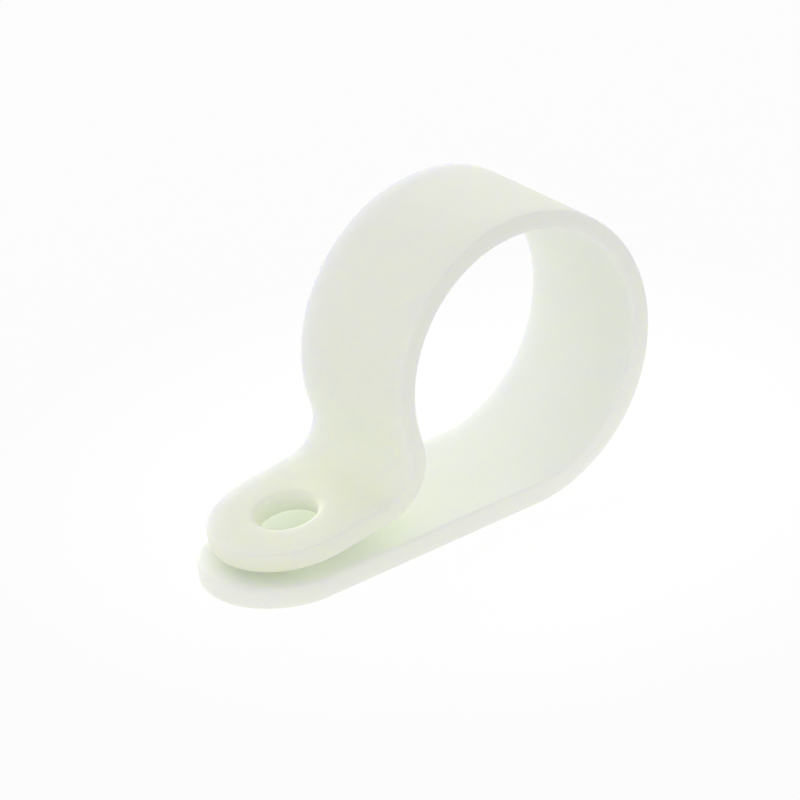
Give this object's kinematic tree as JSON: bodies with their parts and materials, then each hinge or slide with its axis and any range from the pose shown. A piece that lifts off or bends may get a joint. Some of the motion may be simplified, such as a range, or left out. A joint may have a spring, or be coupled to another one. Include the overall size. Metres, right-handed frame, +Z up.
{
  "type": "p clip",
  "caption": "One-piece moulded nylon P clip: a flat strap looped round a cable bundle, with two round-ended tabs closed by one screw.",
  "frame": {"origin": "on the plane that the base lies on, under the loop's axis, midway across the strap", "axes": "+X from the tabs to the loop, +Y along the bundle, +Z up from the mounting surface"},
  "size_m": [0.0292, 0.0094, 0.0184],
  "materials": {
    "nylon": "natural undyed nylon, semi-matte, slightly translucent"
  },
  "bodies": {
    "root": {"p_clip": "nylon"}
  },
  "joints": []
}
